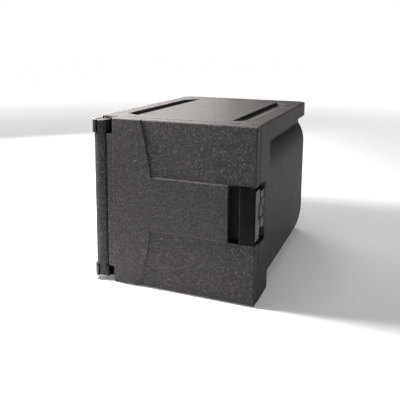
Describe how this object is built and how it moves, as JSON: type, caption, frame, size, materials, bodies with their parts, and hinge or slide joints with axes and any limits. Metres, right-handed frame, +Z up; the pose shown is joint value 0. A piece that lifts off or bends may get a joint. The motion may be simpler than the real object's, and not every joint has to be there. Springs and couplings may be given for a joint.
{
  "type": "insulated food carrier",
  "caption": "Front-loading foam food carrier for full-size gastronorm pans, with moulded pan runners, a side-hinged door and a corner latch.",
  "frame": {"origin": "centre of the flat underside", "axes": "+Z up; -Y is the front, where the door is; +X is the latch side; +Y, front to back, is the longest side"},
  "size_m": [0.4547, 0.6268, 0.45],
  "materials": {
    "foam_carcass": "matte",
    "foam_door": "matte",
    "seal_rubber": "matte",
    "hinge_plastic": "satin",
    "insert_plastic": "satin",
    "latch_base_plastic": "matte",
    "latch_lever_plastic": "gloss",
    "pin_steel": "satin",
    "black_screws": "satin"
  },
  "bodies": {
    "carcass": {"carcass_shell": "foam_carcass", "hinge_bracket_top": "hinge_plastic", "hinge_bracket_bottom": "hinge_plastic", "hinge_screws_top": "black_screws", "hinge_screws_bottom": "black_screws", "hinge_anchor_top": "insert_plastic", "hinge_anchor_bottom": "insert_plastic", "latch_keeper": "latch_base_plastic", "keeper_screws": "black_screws", "keeper_anchor": "insert_plastic"},
    "door": {"door_slab": "foam_door", "door_gasket": "seal_rubber", "latch_base": "latch_base_plastic", "latch_base_screws": "black_screws", "latch_anchor": "insert_plastic", "latch_pin": "pin_steel"},
    "latch_lever": {"latch_lever": "latch_lever_plastic"}
  },
  "joints": [
    {"name": "door_hinge", "type": "hinge", "parent": "carcass", "child": "door", "pos_m": [-0.2105, -0.293, 0.225], "axis": [0, 0, -1], "range_deg": [0, 215]},
    {"name": "latch_pivot", "type": "hinge", "parent": "door", "child": "latch_lever", "pos_m": [0.186, -0.302, 0.23], "axis": [0, 0, -1], "range_deg": [0, 100]}
  ]
}
